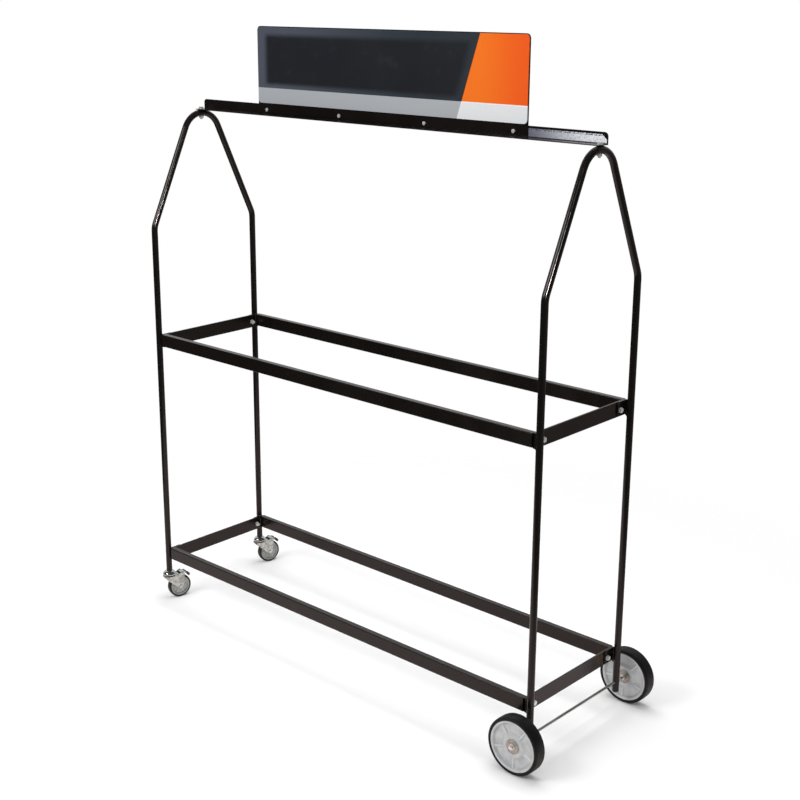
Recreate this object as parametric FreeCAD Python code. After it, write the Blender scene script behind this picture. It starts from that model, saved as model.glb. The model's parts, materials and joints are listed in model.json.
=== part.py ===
import FreeCAD, Part
import math
import os

# Mobile two-tier tyre storage rack, millimetres, +Z up. +X is the big-wheel end, -Y is the front.
# Everything is laid out from the middle of the end frames, at floor level, and each saved piece is
# then moved so that the origin is the middle of the floor area that the whole rack covers.

V = FreeCAD.Vector

# ---- overall layout -------------------------------------------------------------
LEG_X = 970.0            # end frames stand at X = -970 and X = +970
LEG_Y = 262.0            # legs stand at Y = -262 and Y = +262
TUBE_R = 12.5            # 25 mm round tube
TUBE_WALL = 2.0
RIGHT_LEG_FOOT = 68.0    # lower end of the legs at the big-wheel end
LEFT_LEG_FOOT = 131.0    # lower end of the legs at the caster end
APEX_Z = 2061.0          # tube centre line at the top of the arch
ARCH_R = 93.0            # centre-line radius of the arch
LEAN = math.radians(24.8)
BEND_R = 70.0            # centre-line radius of the bend between leg and lean

# ---- tyre tiers -----------------------------------------------------------------
TIER_TOPS = {"lower": 239.0, "upper": 1182.0}
RAIL_H = 50.0
RAIL_W = 25.0
RAIL_WALL = 2.0
RAIL_OUTER_Y = 269.0     # outer face of each rail
CROSS_X = 949.0          # outer face of each cross bar
CROSS_T = 6.0
CROSS_H = 55.0
TIER_BOLT_Y = 222.0
TIER_BOLT_DROP = 30.0    # bolt centre below the top of the tier
BRACKET_T = 5.0

# ---- fasteners ------------------------------------------------------------------
M10 = {"r": 5.0, "af": 17.0, "head": 6.4, "nut": 8.0, "washer_r": 10.0, "washer_t": 2.0}
M8 = {"r": 4.0, "af": 13.0, "head": 5.3, "nut": 6.5, "washer_r": 8.0, "washer_t": 1.6}
HOLE_GAP = 0.25          # bolt holes are this much larger in radius than the bolt
RUN_GAP = 0.05           # radial clearance of turning parts and of nuts on threads

# ---- top bar and sign -----------------------------------------------------------
BAR_X = 981.0
BAR_BACK_Y = 30.0
BAR_FRONT_Y = -20.0
BAR_T = 3.0
BAR_H = 40.0
BAR_BOTTOM = APEX_Z + TUBE_R
SIGN_X = 658.0           # half the width of the sign
SIGN_MID_X = 11.0        # the sign sits slightly towards the big-wheel end
SIGN_TOP = 2408.0
PLATE_T = 2.0
PLATE_BOTTOM = BAR_BOTTOM + BAR_T + 2.5
PANEL_T = 3.0
PANEL_BOTTOM = 2118.0
SIGN_BOLTS_X = [-598.0, -204.0, 216.0, 610.0]
SIGN_BOLT_Z = 2092.0

# ---- big wheels -----------------------------------------------------------------
WHEEL_R = 104.0
WHEEL_W = 50.0
WHEEL_Y = 335.0          # middle plane of each wheel
AXLE_R = 5.0
AXLE_HALF = 367.0
BOSS_HALF = 20.5         # half length of the hub boss
BUSH_R = 8.0
HUB_R = 91.0
SEAT_R = 86.0
PLATEAU_R = 44.0         # raised middle of the hub face
HUB_RIBS = 5
RIB_START = {"front_wheel": 55.0, "back_wheel": 49.0}    # first rib, degrees from +X towards +Z
HUB_WASHER_R = 26.0

# ---- casters --------------------------------------------------------------------
CASTER_HEADING = 76.0    # direction in which both casters trail, degrees from +X
TRAIL = 43.0
CW_R = 50.0              # caster wheel radius
CW_HALF = 14.0           # half the tread width
CORE_R = 42.0
STEM_R = 5.5
ARM_IN = 16.0            # inner face of each fork arm
ARM_T = 3.0
CROWN_Z = 104.0
CROWN_R = 27.0
CROWN_BACK = 24.0        # how far the fork reaches ahead of the stem
PIVOT = (55.0, 108.5)    # brake pivot, along the trail and up
PIN_R = 2.5
PAD_ANGLE = 46.0         # where the brake pad faces the tread, degrees above the trail
PAD_GAP = 5.5

# ---- origin ---------------------------------------------------------------------
# The big wheels reach WHEEL_R past one end frame, and the caster crowns reach CROWN_R past the other.
MIDDLE_X = (WHEEL_R - CROWN_R) / 2


# ---- small helpers --------------------------------------------------------------
def box(x0, x1, y0, y1, z0, z1):
    return Part.makeBox(x1 - x0, y1 - y0, z1 - z0, V(x0, y0, z0))


def rod(radius, start, end):
    return Part.makeCylinder(radius, (end - start).Length, start, end - start)


def aim(shape, origin, direction):
    """Move a shape built along +Z from the origin so that it points along direction."""
    turned = shape.copy()
    turned.Placement = FreeCAD.Placement(origin, FreeCAD.Rotation(V(0, 0, 1), direction))
    return turned


def prism(points, direction):
    """Extrude a closed polygon of vectors."""
    return Part.Face(Part.makePolygon(points + [points[0]])).extrude(direction)


def turned_profile(points):
    """Revolve (radius, height) corner points about Z."""
    corners = [V(r, 0, z) for r, z in points]
    face = Part.Face(Part.makePolygon(corners + [corners[0]]))
    return face.revolve(V(0, 0, 0), V(0, 0, 1), 360)


def hexagon(across_flats, height):
    radius = across_flats / math.sqrt(3.0)
    corners = [V(radius * math.cos(math.radians(60 * k)), radius * math.sin(math.radians(60 * k)), 0)
               for k in range(6)]
    blank = prism(corners, V(0, 0, height))
    crown = Part.makeCone(across_flats / 2 + height * 1.2, across_flats / 2 - 0.4, height)
    return blank.common(crown.fuse(Part.makeCylinder(radius + 1, height * 0.75)))


def bolt(size, length):
    """Hex bolt: underside of the head at Z = 0, shank towards +Z."""
    head = hexagon(size["af"], size["head"])
    head.rotate(V(0, 0, 0), V(1, 0, 0), 180)
    shank = Part.makeCylinder(size["r"], length - 1.0)
    tip = Part.makeCone(size["r"], size["r"] - 1.0, 1.0, V(0, 0, length - 1.0))
    return head.fuse([shank, tip]).removeSplitter()


def nut(size):
    """Hex nut standing on Z = 0."""
    bore = Part.makeCylinder(size["r"] + RUN_GAP, size["nut"])
    return hexagon(size["af"], size["nut"]).cut(bore)


def washer(outer, inner, thickness):
    return Part.makeCylinder(outer, thickness).cut(Part.makeCylinder(inner, thickness))


def save(name, solids):
    shape = solids[0] if len(solids) == 1 else Part.makeCompound(solids)
    shape.translate(V(-MIDDLE_X, 0, 0))
    shape.exportStep("parts/%s.step" % name)


# ---- end frames -----------------------------------------------------------------
def frame_path(x, foot):
    """Centre line of one end frame: leg, bend, lean, arch, lean, bend, leg."""
    arch_z = APEX_Z - ARCH_R
    tangent_y = ARCH_R * math.cos(LEAN)
    tangent_z = arch_z + ARCH_R * math.sin(LEAN)
    corner_z = tangent_z - (LEG_Y - tangent_y) / math.tan(LEAN)
    run = BEND_R * math.tan(LEAN / 2)
    low = (LEG_Y, corner_z - run)
    middle = (LEG_Y - BEND_R * (1 - math.cos(LEAN / 2)), low[1] + BEND_R * math.sin(LEAN / 2))
    high = (LEG_Y - run * math.sin(LEAN), corner_z + run * math.cos(LEAN))

    def at(side, point):
        return V(x, side * point[0], point[1])

    edges = [Part.makeLine(V(x, -LEG_Y, foot), at(-1, low)),
             Part.Arc(at(-1, low), at(-1, middle), at(-1, high)).toShape(),
             Part.makeLine(at(-1, high), at(-1, (tangent_y, tangent_z))),
             Part.Arc(at(-1, (tangent_y, tangent_z)), V(x, 0, APEX_Z),
                      at(1, (tangent_y, tangent_z))).toShape(),
             Part.makeLine(at(1, (tangent_y, tangent_z)), at(1, high)),
             Part.Arc(at(1, high), at(1, middle), at(1, low)).toShape(),
             Part.makeLine(at(1, low), V(x, LEG_Y, foot))]
    return Part.Wire(edges)


def swept(path, radius, start):
    ring = Part.Wire(Part.makeCircle(radius, start, V(0, 0, 1)))
    return path.makePipeShell([ring], True, False)


def end_frame(side, foot):
    x = side * LEG_X
    start = V(x, -LEG_Y, foot)
    path = frame_path(x, foot)
    tube = swept(path, TUBE_R, start).cut(swept(path, TUBE_R - TUBE_WALL, start))
    apex_hole = rod(M10["r"] + HOLE_GAP, V(x, 0, APEX_Z - 20), V(x, 0, APEX_Z + 20))
    tube = tube.cut(apex_hole)
    if side > 0:
        axle_hole = rod(AXLE_R + RUN_GAP, V(x, -LEG_Y - 20, WHEEL_R), V(x, LEG_Y + 20, WHEEL_R))
        tube = tube.cut(axle_hole)
    return tube


def bracket(side, end, top):
    """Bent plate that joins one cross-bar end to one leg. side is +-1 in X, end +-1 in Y."""
    face_x = CROSS_X
    leg_x = LEG_X - 6.0
    outline = [V(face_x, 0, top), V(face_x, 0, top - RAIL_H - 2), V(leg_x, 0, top - RAIL_H - 16),
               V(leg_x, 0, top)]
    web = prism(outline, V(0, BRACKET_T, 0))
    web.translate(V(0, -LEG_Y, 0))
    free_y = -TIER_BOLT_Y + 16.0
    flange = box(face_x, face_x + BRACKET_T, -LEG_Y, free_y, top - RAIL_H, top)
    corners = [e for e in flange.Edges
               if abs(e.CenterOfMass.y - free_y) < 0.01 and abs(e.CenterOfMass.x - face_x - BRACKET_T / 2) < 0.01]
    flange = flange.makeFillet(12.0, corners)
    plate = flange.fuse(web).removeSplitter()
    leg = rod(TUBE_R, V(LEG_X, -LEG_Y, top - 120), V(LEG_X, -LEG_Y, top + 60))
    bolt_z = top - TIER_BOLT_DROP
    hole = rod(M10["r"] + HOLE_GAP, V(face_x - 5, -TIER_BOLT_Y, bolt_z), V(face_x + 20, -TIER_BOLT_Y, bolt_z))
    plate = plate.cut(leg).cut(hole)
    return mirrored(plate, side, end)


def mirrored(shape, side, end):
    """Copy a shape made for the +X, -Y corner to another corner."""
    if side < 0:
        shape = shape.mirror(V(0, 0, 0), V(1, 0, 0))
    if end > 0:
        shape = shape.mirror(V(0, 0, 0), V(0, 1, 0))
    return shape


def leg_plug(end):
    """Domed plastic plug in the open lower end of a leg."""
    dome = turned_profile([(0, 0), (8.0, 0), (11.5, 1.6), (12.5, 4.0), (0, 4.0)])
    body = Part.makeCylinder(TUBE_R - TUBE_WALL, 16.0, V(0, 0, 4.0))
    plug = dome.fuse(body).removeSplitter()
    plug.translate(V(LEG_X, end * LEG_Y, RIGHT_LEG_FOOT - 4.0))
    return plug


# ---- tiers ----------------------------------------------------------------------
def rounded_bar(width, height, radius, length):
    """Rectangle with rounded corners, extruded along X, centred on Y and Z."""
    bar = Part.makeBox(length, width, height, V(-length / 2, -width / 2, -height / 2))
    long_edges = [e for e in bar.Edges if abs(e.BoundBox.XLength - length) < 0.01]
    return bar.makeFillet(radius, long_edges)


def rail(end, top):
    length = 2 * (CROSS_X - CROSS_T)
    outer = rounded_bar(RAIL_W, RAIL_H, 3.0, length)
    inner = rounded_bar(RAIL_W - 2 * RAIL_WALL, RAIL_H - 2 * RAIL_WALL, 1.0, length)
    tube = outer.cut(inner)
    tube.translate(V(0, end * (RAIL_OUTER_Y - RAIL_W / 2), top - RAIL_H / 2))
    return tube


def cross_bar(side, top):
    bar = box(CROSS_X - CROSS_T, CROSS_X, -LEG_Y, LEG_Y, top - CROSS_H, top)
    ends = [e for e in bar.Edges if abs(e.BoundBox.XLength - CROSS_T) < 0.01]
    bar = bar.makeFillet(4.0, ends)
    for y in (-TIER_BOLT_Y, TIER_BOLT_Y):
        z = top - TIER_BOLT_DROP
        bar = bar.cut(rod(M10["r"] + HOLE_GAP, V(CROSS_X - 20, y, z), V(CROSS_X + 20, y, z)))
    return mirrored(bar, side, -1)


def tier_points():
    """Seat of every tier bolt head: origin and inward direction."""
    for top in TIER_TOPS.values():
        for side in (-1, 1):
            for y in (-TIER_BOLT_Y, TIER_BOLT_Y):
                origin = V(side * (CROSS_X + BRACKET_T), y, top - TIER_BOLT_DROP)
                yield origin, V(-side, 0, 0)


def tier_fasteners():
    bolts, washers, nuts = [], [], []
    grip = BRACKET_T + CROSS_T
    for origin, inward in tier_points():
        bolts.append(aim(bolt(M10, 30.0), origin - inward * M10["washer_t"], inward))
        washers.append(aim(washer(M10["washer_r"], M10["r"] + HOLE_GAP, M10["washer_t"]),
                           origin - inward * M10["washer_t"], inward))
        nuts.append(aim(nut(M10), origin + inward * grip, inward))
    save("tier_bolts", bolts)
    save("tier_washers", washers)
    save("tier_nuts", nuts)


# ---- top bar and sign -----------------------------------------------------------
def top_bar():
    flat = box(-BAR_X, BAR_X, BAR_FRONT_Y, BAR_BACK_Y, BAR_BOTTOM, BAR_BOTTOM + BAR_T)
    upright = box(-BAR_X, BAR_X, BAR_BACK_Y - BAR_T, BAR_BACK_Y, BAR_BOTTOM, BAR_BOTTOM + BAR_H)
    corners = [e for e in upright.Edges
               if abs(e.BoundBox.YLength - BAR_T) < 0.01 and e.CenterOfMass.z > BAR_BOTTOM + BAR_H - 1]
    upright = upright.makeFillet(14.0, corners)
    bar = flat.fuse(upright).removeSplitter()
    for x in (-LEG_X, LEG_X):
        bar = bar.cut(rod(M10["r"] + HOLE_GAP, V(x, 0, BAR_BOTTOM - 5), V(x, 0, BAR_BOTTOM + 10)))
    for x in SIGN_BOLTS_X:
        bar = bar.cut(rod(M8["r"] + HOLE_GAP, V(x, BAR_BACK_Y - 10, SIGN_BOLT_Z), V(x, BAR_BACK_Y + 5, SIGN_BOLT_Z)))
    return bar


def top_bar_fasteners():
    bolts, washers, nuts = [], [], []
    seat = BAR_BOTTOM + BAR_T
    under = APEX_Z - TUBE_R - 0.7     # the hollow of the arch meets only the rim of the nut
    for x in (-LEG_X, LEG_X):
        bolts.append(aim(bolt(M10, 44.0), V(x, 0, seat + M10["washer_t"]), V(0, 0, -1)))
        washers.append(aim(washer(M10["washer_r"], M10["r"] + HOLE_GAP, M10["washer_t"]),
                           V(x, 0, seat), V(0, 0, 1)))
        nuts.append(aim(nut(M10), V(x, 0, under), V(0, 0, -1)))
    save("top_bar_bolts", bolts)
    save("top_bar_washers", washers)
    save("top_bar_nuts", nuts)


def rounded_plate(half_x, y0, y1, z0, z1, radius, corner_zs):
    plate = box(SIGN_MID_X - half_x, SIGN_MID_X + half_x, y0, y1, z0, z1)
    corners = [e for e in plate.Edges
               if abs(e.BoundBox.YLength - (y1 - y0)) < 0.01
               and min(abs(e.CenterOfMass.z - z) for z in corner_zs) < 0.01]
    return plate.makeFillet(radius, corners)


def sign_backing_plate():
    front = BAR_BACK_Y - BAR_T - PLATE_T
    plate = rounded_plate(SIGN_X, front, front + PLATE_T, PLATE_BOTTOM, SIGN_TOP, 16.0, (SIGN_TOP,))
    for x in SIGN_BOLTS_X:
        plate = plate.cut(rod(M8["r"] + HOLE_GAP, V(x, front - 5, SIGN_BOLT_Z), V(x, front + 10, SIGN_BOLT_Z)))
    return plate


def sign_panel():
    back = BAR_BACK_Y - BAR_T - PLATE_T
    return rounded_plate(SIGN_X - 3.0, back - PANEL_T, back, PANEL_BOTTOM, SIGN_TOP - 3.0, 14.0,
                         (PANEL_BOTTOM, SIGN_TOP - 3.0))


def sign_fasteners():
    bolts, nuts = [], []
    front = BAR_BACK_Y - BAR_T - PLATE_T
    for x in SIGN_BOLTS_X:
        bolts.append(aim(bolt(M8, 16.0), V(x, front, SIGN_BOLT_Z), V(0, 1, 0)))
        nuts.append(aim(nut(M8), V(x, BAR_BACK_Y, SIGN_BOLT_Z), V(0, 1, 0)))
    save("sign_bolts", bolts)
    save("sign_nuts", nuts)


# ---- big wheels and axle --------------------------------------------------------
def hub_half(rib_start):
    """Plastic half hub: joint plane at Z = 0, dished face towards +Z."""
    shell = turned_profile([(BUSH_R, 0), (BUSH_R, BOSS_HALF), (PLATEAU_R - 3, BOSS_HALF), (PLATEAU_R, 19.5),
                            (PLATEAU_R + 2, 15.5), (78, 15.5), (84.5, 19), (86, 24), (90, 24), (HUB_R, 23),
                            (HUB_R, 15), (SEAT_R, 15), (SEAT_R, 0), (83, 0), (83, 12.5), (PLATEAU_R, 12.5),
                            (PLATEAU_R - 3, 17.5), (15, 17.5), (15, 0)])
    ribs = []
    for k in range(HUB_RIBS):
        face_rib = box(PLATEAU_R - 1, 85, -2, 2, 14, 19)
        inner_rib = box(14, 84, -1.25, 1.25, 0, 13.5)
        for part in (face_rib, inner_rib):
            part.rotate(V(0, 0, 0), V(0, 0, 1), 360.0 * k / HUB_RIBS + rib_start)
            ribs.append(part)
    return shell.fuse(ribs).removeSplitter()


def wheel_tyre():
    """Solid rubber ring with a rib that the two hub halves clamp, axis along Z."""
    half = WHEEL_W / 2
    top, bottom = V(WHEEL_R - 0.8, 0, half - 5), V(WHEEL_R - 0.8, 0, 5 - half)
    shoulder = 5.0 * (1 - math.sqrt(0.5))
    edges = [Part.makePolygon([bottom_corner(-half), V(SEAT_R + 6.5, 0, -half), V(HUB_R, 0, -half + 2),
                               V(HUB_R, 0, -15), V(SEAT_R, 0, -15), V(SEAT_R, 0, 15), V(HUB_R, 0, 15),
                               V(HUB_R, 0, half - 2), V(SEAT_R + 6.5, 0, half), bottom_corner(half)]),
             Part.Arc(bottom_corner(half), V(WHEEL_R - 0.8 - shoulder, 0, half - shoulder), top).toShape(),
             Part.Arc(top, V(WHEEL_R, 0, 0), bottom).toShape(),
             Part.Arc(bottom, V(WHEEL_R - 0.8 - shoulder, 0, shoulder - half), bottom_corner(-half)).toShape()]
    outline = Part.Wire(Part.__sortEdges__([e for part in edges for e in part.Edges]))
    return Part.Face(outline).revolve(V(0, 0, 0), V(0, 0, 1), 360)


def bottom_corner(z):
    """Where the flat side of the wheel tyre ends and its shoulder begins."""
    return V(WHEEL_R - 5.8, 0, z)


def big_wheel(name, end):
    centre = V(LEG_X, end * WHEEL_Y, WHEEL_R)
    outward = V(0, end, 0)
    rib_start = RIB_START[name]
    save(name + "_hub_outer", [aim(hub_half(-end * rib_start), centre, outward)])
    save(name + "_hub_inner", [aim(hub_half(end * rib_start), centre, outward * -1)])
    save(name + "_tyre", [aim(wheel_tyre(), centre, outward)])
    bush = washer(BUSH_R, AXLE_R + RUN_GAP, 2 * BOSS_HALF + 1)
    save(name + "_bush", [aim(bush, centre - outward * (BOSS_HALF + 0.5), outward)])


def axle_parts():
    """Rod, the nuts outside the legs and inside the hubs, the hub washers and the push caps."""
    end_cone = Part.makeCone(AXLE_R, AXLE_R - 1, 1, V(0, 0, AXLE_HALF - 1))
    half_rod = Part.makeCylinder(AXLE_R, AXLE_HALF - 1).fuse(end_cone)
    whole = aim(half_rod, V(LEG_X, 0, WHEEL_R), V(0, 1, 0)).fuse(aim(half_rod, V(LEG_X, 0, WHEEL_R), V(0, -1, 0)))
    save("axle_rod", [whole.removeSplitter()])
    nuts, washers, caps = [], [], []
    hub_in = WHEEL_Y - BOSS_HALF - 0.5
    hub_out = WHEEL_Y + BOSS_HALF + 0.5
    hub_gap = 0.5
    washer_t = 1.5
    for end in (-1, 1):
        outward = V(0, end, 0)

        def along(distance):
            return V(LEG_X, end * distance, WHEEL_R)

        for nut_at in (LEG_Y + TUBE_R, hub_in - hub_gap - washer_t - M10["nut"]):
            nuts.append(aim(nut(M10), along(nut_at), outward))
        for washer_at in (hub_in - hub_gap - washer_t, hub_out + hub_gap):
            washers.append(aim(washer(HUB_WASHER_R, AXLE_R + RUN_GAP, washer_t), along(washer_at), outward))
        caps.append(aim(push_cap(), along(hub_out + hub_gap + washer_t), outward))
    save("axle_nuts", nuts)
    save("axle_washers", washers)
    save("axle_caps", caps)


def push_cap():
    """Domed push-on cap that grips the end of the axle, open side on Z = 0."""
    depth = AXLE_HALF - (WHEEL_Y + BOSS_HALF + 2.5)
    dome = turned_profile([(0, 0), (11.5, 0), (11.5, 1.2), (9.0, 2.0), (8.7, 7.5), (7.0, 10.2), (3.8, 11.5),
                           (0, 11.8)])
    return dome.cut(Part.makeCylinder(AXLE_R, depth + 0.2))


# ---- casters, built trailing towards +X with the stem on the Z axis -------------
def caster_socket():
    """Nylon sleeve that fills the leg around the stem."""
    flange = Part.makeCylinder(TUBE_R, 2.0, V(0, 0, LEFT_LEG_FOOT - 2))
    sleeve = Part.makeCylinder(TUBE_R - TUBE_WALL, 44.0, V(0, 0, LEFT_LEG_FOOT))
    bore = Part.makeCylinder(STEM_R, 60.0, V(0, 0, LEFT_LEG_FOOT - 5))
    return flange.fuse(sleeve).removeSplitter().cut(bore)


def caster_stem():
    """Steel stem with its lower rivet head and the fixed upper ball race."""
    stem = Part.makeCylinder(STEM_R, 64.0, V(0, 0, 101.0))
    head = turned_profile([(0, 99.5), (7.5, 99.5), (9.0, 101.0), (9.0, CROWN_Z - 0.1), (0, CROWN_Z - 0.1)])
    top = LEFT_LEG_FOOT - 2.0
    race = turned_profile([(0, top), (14, top), (19, top - 3), (24, top - 8.5), (25.5, 117), (25.5, 113.4),
                           (23, 113.4), (23, 117), (20.5, 118.8), (0, 118.8)])
    return stem.fuse([head, race]).removeSplitter()


def caster_balls():
    count = 12
    balls = []
    for k in range(count):
        turn = 2 * math.pi * k / count
        balls.append(Part.makeSphere(3.0, V(14.0 * math.cos(turn), 14.0 * math.sin(turn), 115.6)))
    return balls


def fork_arm(y0):
    outline = [V(-CROWN_BACK, y0, CROWN_Z + 3), V(-CROWN_BACK, y0, 96), V(32.5, y0, 44.2), V(55, y0, 50),
               V(PIVOT[0] + 7.8, y0, 106), V(PIVOT[0] + 3, y0, 115.9), V(PIVOT[0] - 3, y0, 115.9),
               V(37, y0, CROWN_Z + 3)]
    arm = prism(outline, V(0, ARM_T, 0))
    arm = arm.fuse([rod(12.0, V(TRAIL, y0, CW_R), V(TRAIL, y0 + ARM_T, CW_R)),
                    rod(8.0, V(PIVOT[0], y0, PIVOT[1]), V(PIVOT[0], y0 + ARM_T, PIVOT[1]))])
    return arm.removeSplitter()


def caster_fork():
    crown = box(-CROWN_BACK, 39, -ARM_IN - ARM_T, ARM_IN + ARM_T, CROWN_Z, CROWN_Z + 3)
    crown = crown.fuse([Part.makeCylinder(CROWN_R, 3.0, V(0, 0, CROWN_Z)),
                        Part.makeCone(26.0, 19.0, 5.4, V(0, 0, CROWN_Z + 3))])
    fork = crown.fuse([fork_arm(ARM_IN), fork_arm(-ARM_IN - ARM_T)]).removeSplitter()
    fork = fork.cut(Part.makeCylinder(STEM_R + RUN_GAP, 30.0, V(0, 0, 95)))
    reach = ARM_IN + ARM_T + 5
    fork = fork.cut(rod(4.0, V(TRAIL, -reach, CW_R), V(TRAIL, reach, CW_R)))
    return fork.cut(rod(PIN_R, V(PIVOT[0], -reach, PIVOT[1]), V(PIVOT[0], reach, PIVOT[1])))


def caster_axle():
    """Rivet through fork and wheel."""
    outer = ARM_IN + ARM_T
    pin = rod(4.0, V(TRAIL, -outer, CW_R), V(TRAIL, outer, CW_R))
    heads = [rod(7.0, V(TRAIL, s * outer, CW_R), V(TRAIL, s * (outer + 3), CW_R)) for s in (-1, 1)]
    return pin.fuse(heads).removeSplitter()


def caster_wheel_core():
    core = turned_profile([(6.0, -14.8), (12, -14.8), (14, -10), (33, -8.5), (37, -12.5), (CORE_R, -12.5),
                           (CORE_R, 12.5), (37, 12.5), (33, 8.5), (14, 10), (12, 14.8), (6.0, 14.8)])
    return aim(core, V(TRAIL, 0, CW_R), V(0, 1, 0))


def caster_tread():
    tread = turned_profile([(CORE_R, -12.5), (CORE_R + 1.5, -CW_HALF), (46.5, -CW_HALF), (49, -12), (CW_R, -8.5),
                            (CW_R, 8.5), (49, 12), (46.5, CW_HALF), (CORE_R + 1.5, CW_HALF), (CORE_R, 12.5)])
    return aim(tread, V(TRAIL, 0, CW_R), V(0, 1, 0))


def caster_bush():
    bush = washer(6.0, 4.0 + RUN_GAP, 30.6)
    return aim(bush, V(TRAIL, -15.3, CW_R), V(0, 1, 0))


def brake_pin():
    outer = ARM_IN + ARM_T
    pin = rod(PIN_R, V(PIVOT[0], -outer, PIVOT[1]), V(PIVOT[0], outer, PIVOT[1]))
    heads = [rod(4.2, V(PIVOT[0], s * outer, PIVOT[1]), V(PIVOT[0], s * (outer + 1.8), PIVOT[1]))
             for s in (-1, 1)]
    return pin.fuse(heads).removeSplitter()


def lever_slice(y0, y1, x0, x1):
    """Slice of the curved brake lever between two widths and two stations along the trail."""
    outline = [V(45, y0, 113.6), V(61, y0, 114.4), V(70, y0, 110.4), V(78, y0, 103.4), V(84, y0, 95),
               V(81.6, y0, 93.4), V(75.8, y0, 101.4), V(68.4, y0, 107.8), V(60, y0, 111.6), V(45, y0, 110.8)]
    whole = prism(outline, V(0, y1 - y0, 0))
    return whole.common(box(x0, x1, y0, y1, 80, 130))


def brake_pedal():
    """Pressed lever around the pivot, wider outside the fork, with the pad underneath."""
    barrel = rod(5.5, V(PIVOT[0], -14.5, PIVOT[1]), V(PIVOT[0], 14.5, PIVOT[1]))
    pad = box(CW_R + PAD_GAP, CW_R + PAD_GAP + 12, -11, 11, -5, 5)
    pad.rotate(V(0, 0, 0), V(0, 1, 0), -PAD_ANGLE)
    pad.translate(V(TRAIL, 0, CW_R))
    pedal = lever_slice(-14, 14, 45, 95).fuse([lever_slice(-17, 17, 65, 95), barrel, pad]).removeSplitter()
    bore = rod(PIN_R + RUN_GAP, V(PIVOT[0], -20, PIVOT[1]), V(PIVOT[0], 20, PIVOT[1]))
    return pedal.cut(bore).cut(pedal_grip())


def pedal_grip():
    """Black plastic cap pushed over the free end of the lever."""
    outline = [V(71.5, 0, 112.2), V(80.4, 0, 104.8), V(87, 0, 95.4), V(80.2, 0, 90.4), V(74.4, 0, 98.6),
               V(71.5, 0, 101.6)]
    grip = prism([point + V(0, -19, 0) for point in outline], V(0, 38, 0))
    ends = [e for e in grip.Edges if abs(e.BoundBox.YLength - 38) < 0.01 and e.CenterOfMass.x > 75]
    return grip.makeFillet(1.5, ends)


def caster(name, end):
    pieces = {"socket": [caster_socket()],
              "stem": [caster_stem()],
              "balls": caster_balls(),
              "fork": [caster_fork()],
              "axle": [caster_axle()],
              "wheel_core": [caster_wheel_core()],
              "tread": [caster_tread()],
              "bush": [caster_bush()],
              "brake_pin": [brake_pin()],
              "brake_pedal": [brake_pedal()],
              "pedal_grip": [pedal_grip()]}
    for piece, solids in pieces.items():
        placed = []
        for solid in solids:
            copy = solid.copy()
            copy.rotate(V(0, 0, 0), V(0, 0, 1), CASTER_HEADING)
            copy.translate(V(-LEG_X, end * LEG_Y, 0))
            placed.append(copy)
        save(name + "_" + piece, placed)


# ---- build everything -----------------------------------------------------------
os.makedirs("parts", exist_ok=True)

save("left_end_frame", [end_frame(-1, LEFT_LEG_FOOT)])
save("right_end_frame", [end_frame(1, RIGHT_LEG_FOOT)])
for word, side in (("left", -1), ("right", 1)):
    save("%s_leg_brackets" % word,
         [bracket(side, end, top) for top in TIER_TOPS.values() for end in (-1, 1)])
save("right_leg_plugs", [leg_plug(-1), leg_plug(1)])

for tier, top in TIER_TOPS.items():
    save("%s_front_rail" % tier, [rail(-1, top)])
    save("%s_back_rail" % tier, [rail(1, top)])
    save("%s_left_cross_bar" % tier, [cross_bar(-1, top)])
    save("%s_right_cross_bar" % tier, [cross_bar(1, top)])
tier_fasteners()

save("top_bar", [top_bar()])
top_bar_fasteners()
save("sign_backing_plate", [sign_backing_plate()])
save("sign_panel", [sign_panel()])
sign_fasteners()

big_wheel("front_wheel", -1)
big_wheel("back_wheel", 1)
axle_parts()

caster("front_caster", -1)
caster("back_caster", 1)
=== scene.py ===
import json
import math
import random

import bmesh
import bpy
from mathutils import Matrix, Vector


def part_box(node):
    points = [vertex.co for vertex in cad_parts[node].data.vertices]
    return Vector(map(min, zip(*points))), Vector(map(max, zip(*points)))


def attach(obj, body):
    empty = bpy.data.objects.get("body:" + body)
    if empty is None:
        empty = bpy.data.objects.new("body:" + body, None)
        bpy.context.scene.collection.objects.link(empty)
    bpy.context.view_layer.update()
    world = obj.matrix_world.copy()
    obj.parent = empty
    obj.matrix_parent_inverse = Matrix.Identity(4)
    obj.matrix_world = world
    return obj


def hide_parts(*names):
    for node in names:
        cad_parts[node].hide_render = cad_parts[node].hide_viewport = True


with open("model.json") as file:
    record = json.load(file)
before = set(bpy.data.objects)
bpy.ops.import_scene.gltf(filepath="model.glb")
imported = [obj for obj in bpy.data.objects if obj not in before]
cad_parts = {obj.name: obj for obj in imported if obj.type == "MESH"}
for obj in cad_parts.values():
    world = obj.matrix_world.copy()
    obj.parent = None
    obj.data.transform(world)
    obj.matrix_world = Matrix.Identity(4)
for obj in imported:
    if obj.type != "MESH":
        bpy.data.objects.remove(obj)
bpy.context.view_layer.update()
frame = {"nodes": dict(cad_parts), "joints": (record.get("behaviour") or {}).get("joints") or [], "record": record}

# Looks of the tyre storage rack: finishes, moulded and pressed parts, weld beads, light and camera.
# Places are in metres. Profiles of small parts are in millimetres and scaled by MM.

MM = 0.001

# ---- places taken from the CAD pieces -------------------------------------------
LEFT_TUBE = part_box("left_end_frame")
RIGHT_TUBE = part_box("right_end_frame")
MIDDLE_X = (LEFT_TUBE[0].x + RIGHT_TUBE[1].x) / 2      # midway between the end frames
TUBE_R = 0.0125
LEG_X = RIGHT_TUBE[1].x - TUBE_R - MIDDLE_X
LEG_Y = RIGHT_TUBE[1].y - TUBE_R
JOINTS = {joint["name"]: joint for joint in frame["joints"]}
SLOTS = {part["node"]: part["material_slot"] for part in frame["record"]["subparts"]}

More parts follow.
